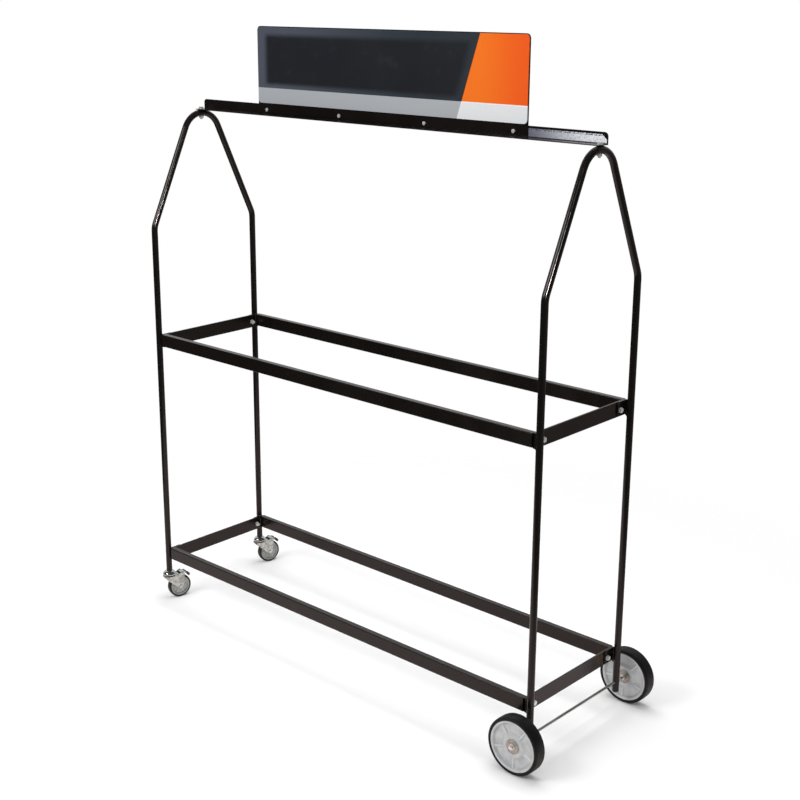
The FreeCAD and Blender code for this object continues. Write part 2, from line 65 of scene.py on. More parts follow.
# ---- sign print, metres -----------------------------------------------------------
STRIP_TOP = 0.0585       # top of the lower strip above the panel's lower edge
DIVIDER_X = 0.3836       # where the slanted divider meets the strip, from the rack's middle
DIVIDER_SLANT = 0.333    # run of the divider per metre of height

# ---- big wheel hub: radii, and heights of one moulded half above its joint plane, metres ----
HUB_R = 0.0910
HUB_BORE = 0.0080
HUB_SEAT_R = 0.0860      # groove that holds the rubber
HUB_SEAT_HALF = 0.0150
HUB_LIP = 0.0240
HUB_BOSS = 0.0205
HUB_WEB = 0.0140
HUB_PLATEAU_R = 0.0440
HUB_PLATEAU_SLOPE = 0.0080         # half the width of the slope around the raised middle
HUB_LIP_RISE = (0.0775, 0.0865)    # radii between which the lip rises
HUB_RIB_TOP = 0.0192
HUB_RIB_HALF = (0.0072, 0.0008)    # half width of a rib at its foot and at its top
HUB_RIBS = 5
RIB_START = {"front_wheel": 55.0, "back_wheel": 49.0}     # degrees from +X to the first rib
WHEEL_HALF = 25.0        # half the width of the rubber, millimetres
SHOULDER_R = 5.2         # rounding of the rubber's shoulders, millimetres

# ---- casters, millimetres, trailing towards +X with the stem on the Z axis --------
TRAIL = 43.0
CASTER_R = 50.0
CROWN_Z = 104.0          # underside of the fork's top
CROWN_BACK = 24.0        # reach of the fork's top behind the stem
ARM_MIDDLE = 17.5        # middle of the thickness of each fork arm
ARM_T = 3.0
FORK_HALF = ARM_MIDDLE + ARM_T / 2
CROWN_TOP = CROWN_Z + ARM_T
PIVOT = (55.0, 108.5)    # brake pin: along the trail, height
CUP_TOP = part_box("front_caster_socket")[0].z / MM

# ---- weld beads, metres ----------------------------------------------------------
BEAD_R = 0.0030
BEAD_STEP = 0.0016

# ---- camera ----------------------------------------------------------------------
CAMERA_LENS = 61.42                         # millimetres, for a sensor 36 millimetres wide
CAMERA_SHIFT = (0.0203, -0.0247)
CAMERA_TURN = (42.854, 74.096, 0.155)       # degrees: heading, tilt, roll
CAMERA_OFFSET = (3.4142, -3.6288, 0.4638)   # metres from the rack's middle and the arches' top


# ---- shader helpers -------------------------------------------------------------
class Shader:
    """One material: adds its nodes and joins them."""

    def __init__(self, name):
        self.material = bpy.data.materials.new(name)
        self.material.use_nodes = True
        self.tree = self.material.node_tree
        self.tree.nodes.clear()
        self.surface = self.add("ShaderNodeBsdfPrincipled")
        output = self.add("ShaderNodeOutputMaterial")
        self.join(self.surface.outputs[0], output.inputs["Surface"])
        self.place = self.add("ShaderNodeTexCoord").outputs["Object"]

    def add(self, kind, **settings):
        node = self.tree.nodes.new(kind)
        for key, value in settings.items():
            setattr(node, key, value)
        return node

    def join(self, source, target):
        self.tree.links.new(source, target)

    def put(self, value, socket):
        if isinstance(value, bpy.types.NodeSocket):
            self.join(value, socket)
        else:
            socket.default_value = value

    def stretched(self, factors):
        node = self.add("ShaderNodeMapping")
        node.inputs["Scale"].default_value = factors
        self.join(self.place, node.inputs["Vector"])
        return node.outputs[0]

    def noise(self, scale, detail=4.0, rough=0.55, where=None):
        node = self.add("ShaderNodeTexNoise")
        node.inputs["Scale"].default_value = scale
        node.inputs["Detail"].default_value = detail
        node.inputs["Roughness"].default_value = rough
        self.join(where or self.place, node.inputs["Vector"])
        return node.outputs["Fac"]

    def cells(self, scale):
        node = self.add("ShaderNodeTexVoronoi")
        node.inputs["Scale"].default_value = scale
        self.join(self.place, node.inputs["Vector"])
        return node.outputs["Color"]

    def math(self, operation, first, second=0.0, third=0.0):
        node = self.add("ShaderNodeMath", operation=operation)
        for value, socket in zip((first, second, third), node.inputs):
            self.put(value, socket)
        return node.outputs[0]

    def band(self, value, low, high, out_low=0.0, out_high=1.0):
        """Smooth step of value from low to high, mapped to out_low and out_high."""
        node = self.add("ShaderNodeMapRange", interpolation_type="SMOOTHSTEP")
        for item, socket in zip((value, low, high, out_low, out_high), node.inputs):
            self.put(item, socket)
        return node.outputs[0]

    def mix(self, share, first, second):
        node = self.add("ShaderNodeMix", data_type="RGBA")
        self.put(share, node.inputs["Factor"])
        for value, socket in ((first, node.inputs["A"]), (second, node.inputs["B"])):
            self.put(value if isinstance(value, bpy.types.NodeSocket) else (*value, 1.0), socket)
        return node.outputs["Result"]

    def axis(self, letter):
        node = self.add("ShaderNodeSeparateXYZ")
        self.join(self.place, node.inputs[0])
        return node.outputs[letter]

    def facing(self, letter):
        """How far the surface faces along +X, +Y or +Z."""
        geometry = self.add("ShaderNodeNewGeometry")
        split = self.add("ShaderNodeSeparateXYZ")
        self.join(geometry.outputs["Normal"], split.inputs[0])
        return split.outputs[letter]

    def rounded(self, radius):
        node = self.add("ShaderNodeBevel", samples=4)
        node.inputs["Radius"].default_value = radius
        return node.outputs[0]

    def bump(self, height, strength, distance, normal=None):
        node = self.add("ShaderNodeBump")
        node.inputs["Strength"].default_value = strength
        node.inputs["Distance"].default_value = distance
        self.join(height, node.inputs["Height"])
        if normal is not None:
            self.join(normal, node.inputs["Normal"])
        return node.outputs[0]

    def finish(self, **values):
        for name, value in values.items():
            self.put(value, self.surface.inputs[name.replace("_", " ")])
        return self.material


def sharp_edge_mask(shader, radius):
    """1 along sharp edges and 0 on flat faces."""
    geometry = shader.add("ShaderNodeNewGeometry")
    product = shader.add("ShaderNodeVectorMath", operation="DOT_PRODUCT")
    shader.join(geometry.outputs["Normal"], product.inputs[0])
    shader.join(shader.rounded(radius), product.inputs[1])
    return shader.band(product.outputs["Value"], 0.97, 0.80)


# ---- finishes -------------------------------------------------------------------
def tube_enamel():
    """Gloss black paint on the bent tubes, smoother than on the rails and without chips."""
    s = Shader("tube_enamel")
    broad = s.noise(6.0, 3.0)
    paint = s.mix(broad, (0.0042, 0.0036, 0.0035), (0.0085, 0.0072, 0.0068))
    specks = s.band(s.noise(40.0, 6.0), 0.45, 0.75, 0.0, 0.05)
    dust = s.math("MULTIPLY", s.band(s.facing("Z"), 0.7, 1.0), specks)
    paint = s.mix(dust, paint, (0.20, 0.19, 0.18))
    return s.finish(Base_Color=paint, Roughness=s.band(s.noise(30.0, 5.0), 0.3, 0.7, 0.11, 0.17),
                    Specular_IOR_Level=0.30, Specular_Tint=(1.0, 0.88, 0.85, 1.0),
                    Normal=s.bump(s.noise(90.0, 3.0), 0.015, 0.0004))


def black_enamel(name="black_enamel", extra=None):
    """Gloss black paint with faint orange peel, a little dust on top faces, and pale chipped paint on sharp edges
    that doubles as a painted edge highlight.
    """
    s = Shader(name)
    broad = s.noise(6.0, 3.0)
    peel = s.noise(260.0, 3.0)
    paint = s.mix(broad, (0.0034, 0.0027, 0.0023), (0.0075, 0.0057, 0.0048))
    specks = s.band(s.noise(40.0, 6.0), 0.45, 0.75, 0.0, 0.10)
    dust = s.math("MULTIPLY", s.band(s.facing("Z"), 0.6, 1.0), specks)
    paint = s.mix(dust, paint, (0.20, 0.19, 0.18))
    # Pale marks along sharp edges: partly chipped paint, partly a painted highlight standing in for light caught
    # by the edges.
    patches = s.band(s.noise(55.0, 5.0), 0.50, 0.66, 0.0, 0.45)
    chips_and_edge_highlight = s.math("MULTIPLY", sharp_edge_mask(s, 0.0012), patches)
    paint = s.mix(chips_and_edge_highlight, paint, (0.20, 0.16, 0.15))
    if extra is not None:
        paint = extra(s, paint)
    rough = s.math("ADD", s.band(broad, 0.3, 0.7, 0.20, 0.28), s.math("MULTIPLY", chips_and_edge_highlight, 0.4))
    return s.finish(Base_Color=paint, Roughness=rough, Specular_IOR_Level=0.30,
                    Specular_Tint=(1.0, 0.88, 0.85, 1.0),
                    Normal=s.bump(peel, 0.04, 0.0003, s.rounded(0.0011)))


def painted_bar_reflection(s, paint):
    """Painted reflection: a pale mirrored band painted into the colour of the top bar's front beside the sign,
    with dark specks along its top.
    """
    low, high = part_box("top_bar")
    sign_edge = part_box("sign_panel")[1].x
    x, z = s.axis("X"), s.axis("Z")
    to_end = s.math("SUBTRACT", high.x, x)
    top = s.math("SUBTRACT", low.z + 0.0325, s.band(to_end, 0.022, 0.002, 0.0, 0.016))
    top = s.math("ADD", top, s.band(s.noise(190.0, 3.0), 0.3, 0.7, -0.0012, 0.0012))
    below_top = s.band(s.math("SUBTRACT", top, z), 0.0, 0.0012)
    band = s.math("MULTIPLY", s.band(z, low.z + 0.0045, low.z + 0.0062), below_top)
    band = s.math("MULTIPLY", band, s.band(x, sign_edge - 0.001, sign_edge + 0.001))
    band = s.math("MULTIPLY", band, s.band(to_end, 0.003, 0.0045))
    band = s.math("MULTIPLY", band, s.band(s.facing("Y"), -0.8, -0.95))
    # Painted reflection colour: blue-grey near the sign, brightening to near white towards the bar's end, mottled
    # by noise.
    reflection_tone = s.mix(s.band(x, sign_edge, high.x - 0.05), (0.150, 0.155, 0.205), (0.92, 0.94, 1.0))
    reflection_tone = s.mix(s.band(s.noise(150.0, 5.0), 0.42, 0.66, 0.0, 0.45), reflection_tone, (0.22, 0.23, 0.28))
    row = s.math("ABSOLUTE", s.math("SUBTRACT", z, low.z + 0.0285))
    specks = s.math("MULTIPLY", s.band(row, 0.0022, 0.0010), s.band(s.noise(240.0, 3.0), 0.47, 0.53))
    reflection_tone = s.mix(specks, reflection_tone, (0.012, 0.012, 0.014))
    return s.mix(band, paint, reflection_tone)


def painted_cross_bar_reflection(s, paint):
    """Painted reflection: a warm amber patch, broken into vertical streaks, painted into the black paint beside
    the back bolt.
    """
    back_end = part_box("lower_right_cross_bar")[1].y
    along = s.math("SUBTRACT", s.axis("Y"), back_end - 0.085)
    patch = s.band(s.math("ABSOLUTE", along), 0.042, 0.014)
    streak_noise = s.noise(60.0, 4.0, 0.6, s.stretched((1.0, 1.0, 0.25)))
    patch = s.math("MULTIPLY", patch, s.band(streak_noise, 0.35, 0.6))
    # Painted warm reflection mixed into the paint colour.
    return s.mix(s.math("MULTIPLY", patch, 0.8), paint, (0.052, 0.030, 0.006))


def weld_paint():
    """Black paint over the lumps of a weld."""
    s = Shader("weld_paint")
    lumps = s.noise(420.0, 4.0)
    paint = s.mix(lumps, (0.004, 0.0035, 0.003), (0.012, 0.010, 0.009))
    return s.finish(Base_Color=paint, Roughness=s.band(lumps, 0.3, 0.7, 0.15, 0.35),
                    Normal=s.bump(lumps, 0.5, 0.0006))


def zinc(name, tint, rough_low, rough_high, metallic, dents=0.12, dent_scale=900.0):
    """Zinc plate with cloudy patches, a faint spangle and small dents."""
    s = Shader(name)
    spangle = s.cells(420.0)
    cloud = s.noise(60.0, 5.0)
    dull = tuple(0.72 * c for c in tint)
    colour = s.mix(s.band(cloud, 0.35, 0.70), tint, dull)
    colour = s.mix(0.10, colour, spangle)
    scratch = s.noise(dent_scale, 2.0)
    rough = s.band(cloud, 0.3, 0.75, rough_low, rough_high)
    rough = s.math("ADD", rough, s.math("MULTIPLY", scratch, 0.06))
    normal = s.bump(scratch, dents, 0.0002, s.rounded(0.0006))
    return s.finish(Base_Color=colour, Metallic=metallic, Roughness=rough, Normal=normal)


def drawn_bar():
    """Zinc-plated round bar with fine lines along its length."""
    s = Shader("drawn_bar")
    lines = s.noise(60.0, 3.0, 0.6, s.stretched((14.0, 0.25, 14.0)))
    cloud = s.noise(9.0, 4.0)
    colour = s.mix(s.band(cloud, 0.35, 0.7), (0.47, 0.49, 0.48), (0.32, 0.335, 0.325))
    return s.finish(Base_Color=colour, Metallic=1.0, Roughness=s.band(lines, 0.3, 0.7, 0.30, 0.48),
                    Normal=s.bump(lines, 0.25, 0.0002))


def bright_plating(name, light, dark, cloud_scale, rough_low, rough_high):
    """Plated pressing: wavy mirror with duller patches."""
    s = Shader(name)
    cloud = s.noise(cloud_scale, 4.0)
    wave = s.noise(120.0, 2.0)
    colour = s.mix(s.band(cloud, 0.35, 0.65), light, dark)
    smear = s.band(s.noise(300.0, 4.0), 0.4, 0.8, rough_low, rough_high)
    return s.finish(Base_Color=colour, Metallic=0.95, Roughness=smear,
                    Normal=s.bump(wave, 0.15, 0.0005, s.rounded(0.0008)))


def moulded(name, light, dark, rough_low, rough_high, metallic=0.0, painted_shading_strength=0.0):
    """Moulded piece: flow marks, a fine grain and, scaled by the last argument, painted shade darkening the
    hollows and painted highlights lightening the ridges.
    """
    s = Shader(name)
    flow = s.noise(28.0, 5.0)
    skin = s.noise(700.0, 3.0)
    colour = s.mix(s.band(flow, 0.3, 0.7), light, dark)
    soil = s.band(s.noise(75.0, 6.0), 0.62, 0.80, 0.0, 0.20)
    colour = s.mix(soil, colour, tuple(0.6 * c for c in dark))
    # Painted shade and highlight: pointiness darkens the colour in hollows and lightens it on ridges.
    pointed = s.add("ShaderNodeNewGeometry").outputs["Pointiness"]
    hollow_shade = tuple(0.45 * c for c in dark)
    ridge_highlight = tuple(min(1.0, 1.7 * c) for c in light)
    colour = s.mix(s.band(pointed, 0.500, 0.470, 0.0, painted_shading_strength), colour, hollow_shade)
    colour = s.mix(s.band(pointed, 0.503, 0.530, 0.0, painted_shading_strength), colour, ridge_highlight)
    rough = s.band(flow, 0.3, 0.7, rough_low, rough_high)
    return s.finish(Base_Color=colour, Metallic=metallic, Roughness=rough,
                    Normal=s.bump(skin, 0.16, 0.0003, s.rounded(0.0008)))


def rubber(name, dark, dust):
    """Black rubber with dusty patches."""
    s = Shader(name)
    cloud = s.noise(34.0, 6.0)
    skin = s.noise(1100.0, 3.0)
    colour = s.mix(s.band(cloud, 0.40, 0.72, 0.0, 0.5), dark, dust)
    colour = s.mix(s.band(skin, 0.60, 0.75, 0.0, 0.25), colour, dust)
    return s.finish(Base_Color=colour, Roughness=s.band(cloud, 0.3, 0.7, 0.42, 0.62),
                    Normal=s.bump(skin, 0.25, 0.0004), Specular_IOR_Level=0.22)


def sign_print():
    """Printed face: slate field with a darker middle, orange corner past a slant, pale strip below."""
    s = Shader("sign_print")
    lower_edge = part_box("sign_panel")[0].z
    x = s.math("SUBTRACT", s.axis("X"), MIDDLE_X)
    z = s.math("SUBTRACT", s.axis("Z"), lower_edge + STRIP_TOP)      # height above the strip
    divider = s.math("SUBTRACT", x, s.math("MULTIPLY_ADD", z, DIVIDER_SLANT, DIVIDER_X))
    right = s.band(divider, -0.0006, 0.0006)
    above = s.band(z, -0.0005, 0.0005)
    slate = s.mix(s.band(x, -0.65, 0.30), (0.062, 0.070, 0.094), (0.022, 0.030, 0.039))
    inside = s.math("MULTIPLY", s.band(x, -0.616, -0.580), s.band(z, 0.004, 0.026))
    inside = s.math("MULTIPLY", inside, s.band(z, 0.212, 0.186))
    inside = s.math("MULTIPLY", inside, s.band(divider, -0.010, -0.050))
    slate = s.mix(inside, slate, (0.0125, 0.0135, 0.0175))
    orange = s.mix(s.band(x, 0.45, 0.67), (0.840, 0.160, 0.006), (0.810, 0.094, 0.003))
    silver = s.mix(s.band(x, -0.6, 0.5), (0.335, 0.352, 0.372), (0.375, 0.392, 0.410))
    colour = s.mix(above, s.mix(right, silver, (0.70, 0.715, 0.73)), s.mix(right, slate, orange))
    line = s.math("MULTIPLY", s.band(s.math("ABSOLUTE", divider), 0.0022, 0.0010), above)
    colour = s.mix(s.math("MULTIPLY", line, 0.7), colour, (0.03, 0.012, 0.008))
    from_strip = s.math("ABSOLUTE", s.math("SUBTRACT", z, -0.001))
    pale = s.math("MULTIPLY", s.band(from_strip, 0.0022, 0.0012), right)
    colour = s.mix(s.math("MULTIPLY", pale, 0.8), colour, (0.86, 0.86, 0.87))
    grime = s.band(s.noise(22.0, 6.0), 0.55, 0.85, 0.0, 0.04)
    colour = s.mix(grime, colour, (0.25, 0.24, 0.22))
    film = s.noise(500.0, 2.0)
    return s.finish(Base_Color=colour, Roughness=s.band(s.noise(3.0, 2.0), 0.3, 0.7, 0.30, 0.38),
                    Normal=s.bump(film, 0.05, 0.0002, s.rounded(0.0008)), Specular_IOR_Level=0.22)


FINISHES = {
    "enamel": black_enamel(),
    "tube_enamel": tube_enamel(),
    # Top bar enamel: black enamel with a painted reflection band on the bar's front.
    "bar_enamel_painted_reflection": black_enamel("bar_enamel_painted_reflection", painted_bar_reflection),
    # Lower right cross bar enamel: black enamel with a painted warm reflection beside the back bolt.
    "cross_bar_enamel_painted_reflection": black_enamel("cross_bar_enamel_painted_reflection", painted_cross_bar_reflection),
    "weld": weld_paint(),
    "zinc": zinc("zinc_plate", (0.86, 0.86, 0.84), 0.20, 0.34, 0.55),
    "warm_zinc": zinc("warm_zinc_plate", (0.40, 0.35, 0.31), 0.18, 0.32, 0.85, 1.0, 330.0),
    "bar": drawn_bar(),
    "chrome": bright_plating("polished_plating", (0.68, 0.71, 0.70), (0.52, 0.55, 0.54), 25.0, 0.05, 0.14),
    "pressing": bright_plating("pressed_plating", (0.54, 0.57, 0.55), (0.29, 0.315, 0.30), 60.0, 0.14, 0.30),
    # Hub and caster disc: the last argument sets the painted shade in hollows and painted highlights on ridges.
    "hub": moulded("hub_plastic", (0.54, 0.550, 0.555), (0.42, 0.430, 0.44), 0.46, 0.60, 0.2, 0.20),
    "disc": moulded("caster_disc", (0.40, 0.43, 0.41), (0.24, 0.26, 0.25), 0.30, 0.46, 0.6, 0.5),
    "nylon": moulded("nylon", (0.52, 0.52, 0.48), (0.44, 0.44, 0.40), 0.40, 0.55),
    "black_plastic": moulded("black_plastic", (0.016, 0.016, 0.016), (0.010, 0.010, 0.010), 0.40, 0.55),
    "tyre": rubber("wheel_rubber", (0.0035, 0.0035, 0.0037), (0.0110, 0.0110, 0.0115)),
    "tread": rubber("caster_rubber", (0.010, 0.010, 0.010), (0.032, 0.031, 0.029)),
    "sign": sign_print(),
}

FINISH_OF_SLOT = {
    "black_frame_paint": "enamel", "sign_print": "sign", "zinc_fasteners": "zinc", "axle_steel": "bar",
    "plug_plastic": "black_plastic", "hub_plastic": "hub", "wheel_rubber": "tyre", "bush_plastic": "nylon",
    "socket_plastic": "black_plastic", "caster_zinc": "pressing", "bearing_steel": "chrome",
    "rivet_steel": "chrome", "caster_disc": "disc", "caster_tread": "tread", "pedal_steel": "pressing",
    "pedal_plastic": "black_plastic",
}

FINISH_OF_NODE = {
    "left_end_frame": "tube_enamel", "right_end_frame": "tube_enamel", "top_bar": "bar_enamel_painted_reflection",
    "lower_right_cross_bar": "cross_bar_enamel_painted_reflection",
}

for node, shown in frame["nodes"].items():
    finish_name = FINISH_OF_NODE.get(node, FINISH_OF_SLOT[SLOTS[node]])
    shown.data.materials.clear()
    shown.data.materials.append(FINISHES[finish_name])

# ---- mesh helpers -----------------------------------------------------------------
def smooth_step(value, start, end):
    """0 at start, 1 at end, with a soft rise between them."""
    share = min(1.0, max(0.0, (value - start) / (end - start)))
    return share * share * (3 - 2 * share)


def soft_max(first, second, blend):
    """The larger of two heights, rounded over where they cross."""
    return 0.5 * (first + second + math.sqrt((first - second) ** 2 + blend ** 2))


def rounded(points, radius, steps=4):
    """Closed outline of (a, b) points with each corner turned into a short curve."""
    outline = []
    for k, point in enumerate(points):
        corner = Vector(point)
        before = Vector(points[k - 1]) - corner
        after = Vector(points[(k + 1) % len(points)]) - corner
        start = corner + before.normalized() * min(radius, 0.45 * before.length)
        end = corner + after.normalized() * min(radius, 0.45 * after.length)
        for step in range(steps + 1):
            t = step / steps
            outline.append(start * (1 - t) ** 2 + corner * (2 * t * (1 - t)) + end * t ** 2)
    return outline


def lathe(profile, count=64):
    """Vertices and faces of a closed (radius, height) profile turned about Z."""
    vertices, faces = [], []
    rows = len(profile)
    for turn in range(count):
        angle = 2 * math.pi * turn / count
        for radius, height in profile:
            vertices.append(Vector((radius * math.cos(angle), radius * math.sin(angle), height)))
    for turn in range(count):
        here, there = turn * rows, (turn + 1) % count * rows
        for row in range(rows):
            nxt = (row + 1) % rows
            faces.append((here + row, here + nxt, there + nxt, there + row))
    return vertices, faces


def strip(outline, half_width):
    """Vertices and faces of an (x, z) outline widened to both sides in Y; half_width is a function of x."""
    count = len(outline)
    vertices = [Vector((x, -half_width(x), z)) for x, z in outline]
    vertices += [Vector((x, half_width(x), z)) for x, z in outline]
    faces = [(k, (k + 1) % count, count + (k + 1) % count, count + k) for k in range(count)]
    faces += [tuple(range(count)), tuple(range(2 * count - 1, count - 1, -1))]
    return vertices, faces


def placed(shape, matrix):
    """The shape moved by a matrix."""
    vertices, faces = shape
    return [matrix @ v for v in vertices], faces


def joined(shapes):
    """Several shapes as one."""
    vertices, faces = [], []
    for more_vertices, more_faces in shapes:
        offset = len(vertices)
        vertices += more_vertices
        faces += [tuple(offset + k for k in face) for face in more_faces]
    return vertices, faces


def piece(name, shape, finish, body, stands_for=(), edge=0.0):
    """Adds a shape as a shown piece that moves with a CAD body."""
    mesh = bpy.data.meshes.new(name)
    vertices, faces = shape
    mesh.from_pydata(vertices, [], faces)
    solid = bmesh.new()
    solid.from_mesh(mesh)
    bmesh.ops.remove_doubles(solid, verts=solid.verts, dist=1e-6)
    bmesh.ops.recalc_face_normals(solid, faces=solid.faces)
    solid.to_mesh(mesh)
    solid.free()
    mesh.shade_smooth()
    mesh.materials.append(FINISHES[finish])
    shown = bpy.data.objects.new(name, mesh)
    bpy.context.scene.collection.objects.link(shown)
    if edge > 0:
        bevel = shown.modifiers.new("rounded_edges", "BEVEL")
        bevel.width = edge
        bevel.segments = 3
        bevel.limit_method = "ANGLE"
        bevel.angle_limit = math.radians(40)
        shown.modifiers.new("even_faces", "WEIGHTED_NORMAL")
    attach(shown, body)
    if stands_for:
        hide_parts(*stands_for)


# ---- big wheels --------------------------------------------------------------------
def hub_height(radius, angle, first_rib):
    """Height of the hub face: raised middle, web with ribs, and lip."""
    plateau = smooth_step(radius, HUB_PLATEAU_R + HUB_PLATEAU_SLOPE, HUB_PLATEAU_R - HUB_PLATEAU_SLOPE)
    lip = smooth_step(radius, *HUB_LIP_RISE)
    face = HUB_WEB + (HUB_BOSS - HUB_WEB) * plateau + (HUB_LIP - HUB_WEB) * lip
    pitch = 2 * math.pi / HUB_RIBS
    off = (angle - math.radians(first_rib) + pitch / 2) % pitch - pitch / 2
    rib = smooth_step(abs(radius * math.sin(off)), *HUB_RIB_HALF)
    return soft_max(face, HUB_WEB + (HUB_RIB_TOP - HUB_WEB) * rib, 0.0008)


def hub_half(centre, side, first_rib, turns=300):
    """Moulded face of one hub half, closed behind, as seen from the side (+1 or -1 along Y)."""
    radii = [HUB_BORE + 0.0015 * k for k in range(52)] + [0.0862, 0.0870, 0.0885, 0.0897, 0.0905]
    vertices, faces = [], []
    for turn in range(turns):
        angle = 2 * math.pi * turn / turns
        ring = [(HUB_BORE, 0.0)] + [(r, hub_height(r, angle, first_rib)) for r in radii]
        ring += [(HUB_R, HUB_LIP - 0.0012), (HUB_R, HUB_SEAT_HALF)]
        ring += [(HUB_SEAT_R, HUB_SEAT_HALF), (HUB_SEAT_R, 0.0)]
        rows = len(ring)
        for radius, height in ring:
            offset = (radius * math.cos(angle), side * height, radius * math.sin(angle))
            vertices.append(centre + Vector(offset))
        here, there = turn * rows, (turn + 1) % turns * rows
        for row in range(rows):
            nxt = (row + 1) % rows
            faces.append((here + row, here + nxt, there + nxt, there + row))
    return vertices, faces


def big_wheel(name):
    """Two hub faces and the crowned rubber of one big wheel."""
    low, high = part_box(name + "_tyre")
    centre = (low + high) / 2
    outward = 1 if centre.y > 0 else -1
    for word, side in (("outer", outward), ("inner", -outward)):
        node = "%s_hub_%s" % (name, word)
        shape = hub_half(centre, side, RIB_START[name])
        piece(node + "_moulding", shape, "hub", name, [node])
    radius = (high.z - low.z) / 2 / MM
    half = WHEEL_HALF
    inner, seat, seat_half = HUB_R / MM, HUB_SEAT_R / MM, HUB_SEAT_HALF / MM
    flat_r = radius - SHOULDER_R - 1.0       # where the flat side ends and the shoulder begins
    side_face = [(inner, -half + 2.2), (inner + 1.2, -half + 0.6), (inner + 2.5, -half), (flat_r, -half)]
    shoulder = [(flat_r + SHOULDER_R * math.sin(a), -half + SHOULDER_R * (1 - math.cos(a)))
                for a in (0.3, 0.6, 0.9, 1.2, 1.5)]
    crown = [(radius - 0.8 * (y / (half - 5)) ** 2, y) for y in (-19, -15, -10, -5, 0)]
    near = side_face + shoulder + crown
    outline = near + [(r, -y) for r, y in reversed(near[:-1])]
    outline += [(inner, seat_half), (seat, seat_half), (seat, -seat_half), (inner, -seat_half)]
    shape = lathe([(r * MM, y * MM) for r, y in outline], 180)
    turn = Matrix.Translation(centre) @ Matrix.Rotation(math.radians(90), 4, "X")
    node = name + "_tyre"
    piece(node + "_rubber", placed(shape, turn), "tyre", name, [node])


def hub_washers():
    """Stepped hub washers in place of the plain ones."""
    washers = []
    steps = [(5.2, 0.0), (26, 0.0), (26, 1.5), (23.4, 1.5), (22.4, 0.9), (18.0, 0.9), (16.8, 1.7),
             (12.5, 1.7), (11.5, 1.1), (5.2, 1.1)]
    profile = [(r * MM, z * MM) for r, z in rounded(steps, 0.6, 3)]
    for name in ("front_wheel", "back_wheel"):
        low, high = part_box(name + "_bush")
        centre = (low + high) / 2
        reach = (high.y - low.y) / 2 + 0.0005
        for side in (-1, 1):
            turn = Matrix.Rotation(math.radians(-90 * side), 4, "X")
            place = Matrix.Translation(centre + Vector((0, side * reach, 0))) @ turn
            washers.append(placed(lathe(profile, 72), place))
    piece("axle_washers_pressed", joined(washers), "warm_zinc", "frame", ["axle_washers"])


# ---- casters -----------------------------------------------------------------------
def caster_place(name):
    """Matrix from the caster's own millimetres to its place on the rack."""
    axis = JOINTS[name + "_brake_press"]["axis"]
    x, y, _ = JOINTS[name + "_swivel_turn"]["pos_m"]
    heading = math.atan2(-axis[0], axis[1])
    return Matrix.Translation((x, y, 0)) @ Matrix.Rotation(heading, 4, "Z") @ Matrix.Scale(MM, 4)


def across(along, height):
    """Matrix that points a lathe shape's axis across the trail, at a place along it and a height."""
    return Matrix.Translation((along, 0, height)) @ Matrix.Rotation(math.radians(-90), 4, "X")


def swivel_head():
    """Domed cup over the balls, stem, and the rivet head below."""
    cup = [(0.01, CUP_TOP - 4), (17.0, CUP_TOP - 5), (23.0, CUP_TOP - 10), (26.4, 112.8), (28.2, 112.8),
           (28.2, 116.0), (25.0, CUP_TOP - 7), (19.0, CUP_TOP - 2), (13.0, CUP_TOP), (0.01, CUP_TOP)]
    stem = [(0.01, 101.0), (5.5, 101.0), (5.5, 165.0), (0.01, 165.0)]
    rivet = [(0.01, 99.5), (7.5, 99.5), (9.0, 101.0), (9.0, 103.9), (0.01, 103.9)]
    return joined([lathe(rounded(cup, 2.6), 72), lathe(rounded(stem, 0.8), 40),
                   lathe(rounded(rivet, 1.0), 40)])


def crown():
    """Top of the fork: lower cup of the bearing and flat deck."""
    dish = [(5.6, 104.0), (27.0, 104.0), (27.2, 107.0), (25.4, 108.0), (20.0, 112.4), (5.6, 112.4)]
    corners = [(-CROWN_BACK, CROWN_Z), (39.0, CROWN_Z), (39.0, CROWN_TOP), (-CROWN_BACK, CROWN_TOP)]
    deck = strip(rounded(corners, 1.2), lambda x: 18.5 - 5.0 * smooth_step(x, -16, -24))
    return joined([lathe(rounded(dish, 1.6), 72), deck])


def fork_arm(side):
    """Pressed arm from the crown down to the wheel's rivet and up to the brake pivot."""
    outline = [(-CROWN_BACK, CROWN_TOP), (-CROWN_BACK, 96), (29.0, 46.0), (36.0, 38.5), (49.0, 38.5),
               (56.5, 50), (62.8, 104), (58.5, 116), (51.5, 116), (37, CROWN_TOP)]
    plate = strip(rounded(outline, 6.0, 5), lambda x: ARM_T / 2)
    return placed(plate, Matrix.Translation((0, side * ARM_MIDDLE, 0)))


def domed_rivet(radius, dome):
    """Rivet ends outside both fork arms."""
    profile = [(0.01, 0), (radius, 0), (radius, dome * 0.4), (radius * 0.7, dome * 0.9), (0.01, dome)]
    ends = []
    for side in (-1, 1):
        turn = Matrix.Rotation(math.radians(-90 * side), 4, "X")
        place = Matrix.Translation((0, side * FORK_HALF, 0)) @ turn
        ends.append(placed(lathe(rounded(profile, 0.8), 32), place))
    return joined(ends)


def wheel_disc():
    """Grey centre of the caster wheel with a raised boss and rim and six shallow spokes."""
    half = [(6.0, -14.8), (11.6, -14.8), (13.6, -10.4), (31.5, -8.5), (35.0, -9.6), (37.5, -12.4),
            (42.0, -12.6)]
    disc = lathe(rounded(half + [(r, -z) for r, z in reversed(half)], 1.4), 72)
    spokes = []
    bar = rounded([(12.0, -11.6), (35.0, -10.4), (35.0, 10.4), (12.0, 11.6)], 1.0)
    for k in range(6):
        spoke = strip(bar, lambda x: 1.6)
        spokes.append(placed(spoke, Matrix.Rotation(math.radians(60 * k), 4, "Z")))
    return placed(joined([disc] + spokes), across(TRAIL, CASTER_R))


